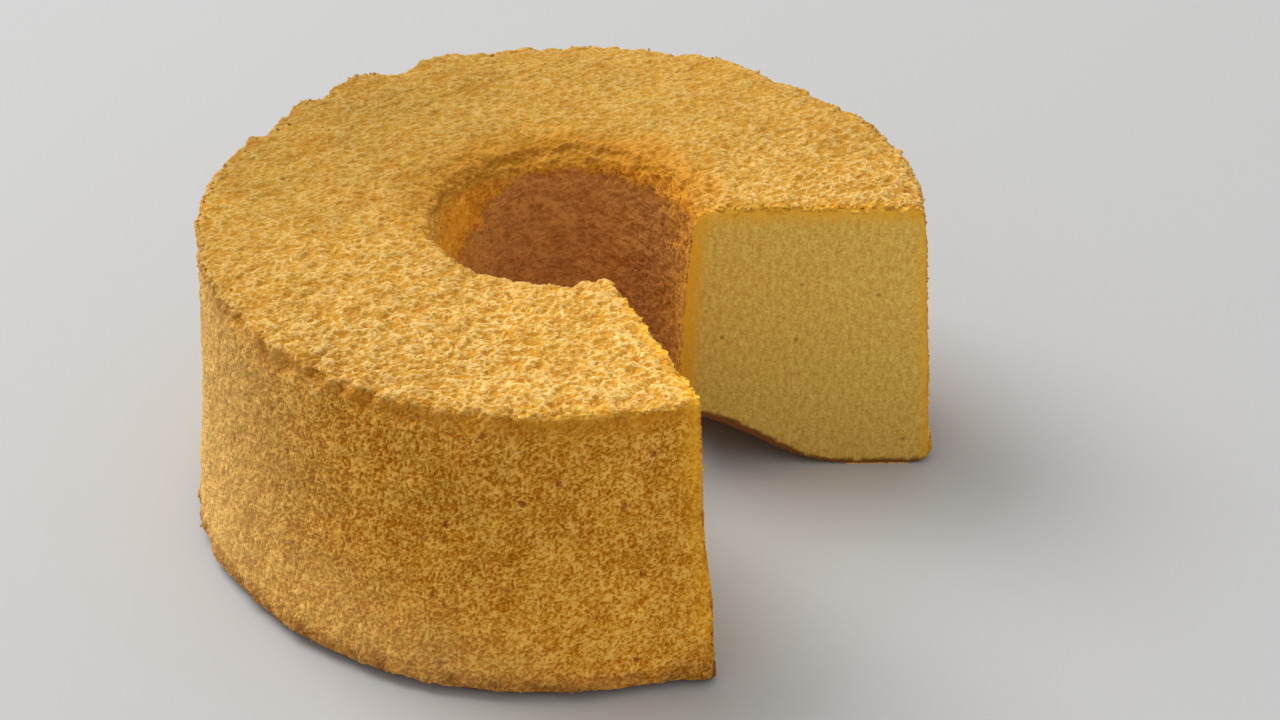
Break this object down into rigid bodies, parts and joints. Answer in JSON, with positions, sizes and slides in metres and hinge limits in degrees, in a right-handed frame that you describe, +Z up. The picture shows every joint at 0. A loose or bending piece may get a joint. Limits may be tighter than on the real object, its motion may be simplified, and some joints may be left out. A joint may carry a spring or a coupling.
{
  "type": "chiffon cake",
  "caption": "Tall golden sponge ring cake from a tube pan, turned out upside down with one wedge cut away, showing pale crumb on the cut faces.",
  "frame": {"origin": "on the axis of the ring, at the level the cake stands on", "axes": "+Z up along the ring's axis; +X along the far cut face; the missing wedge lies between +X and 69 degrees towards -Y"},
  "size_m": [0.2, 0.2, 0.0833],
  "materials": {
    "sponge": "dry, crumbly baked sponge, golden crust with pale yellow crumb where cut"
  },
  "bodies": {
    "root": {"chiffon_cake": "sponge"}
  },
  "joints": []
}
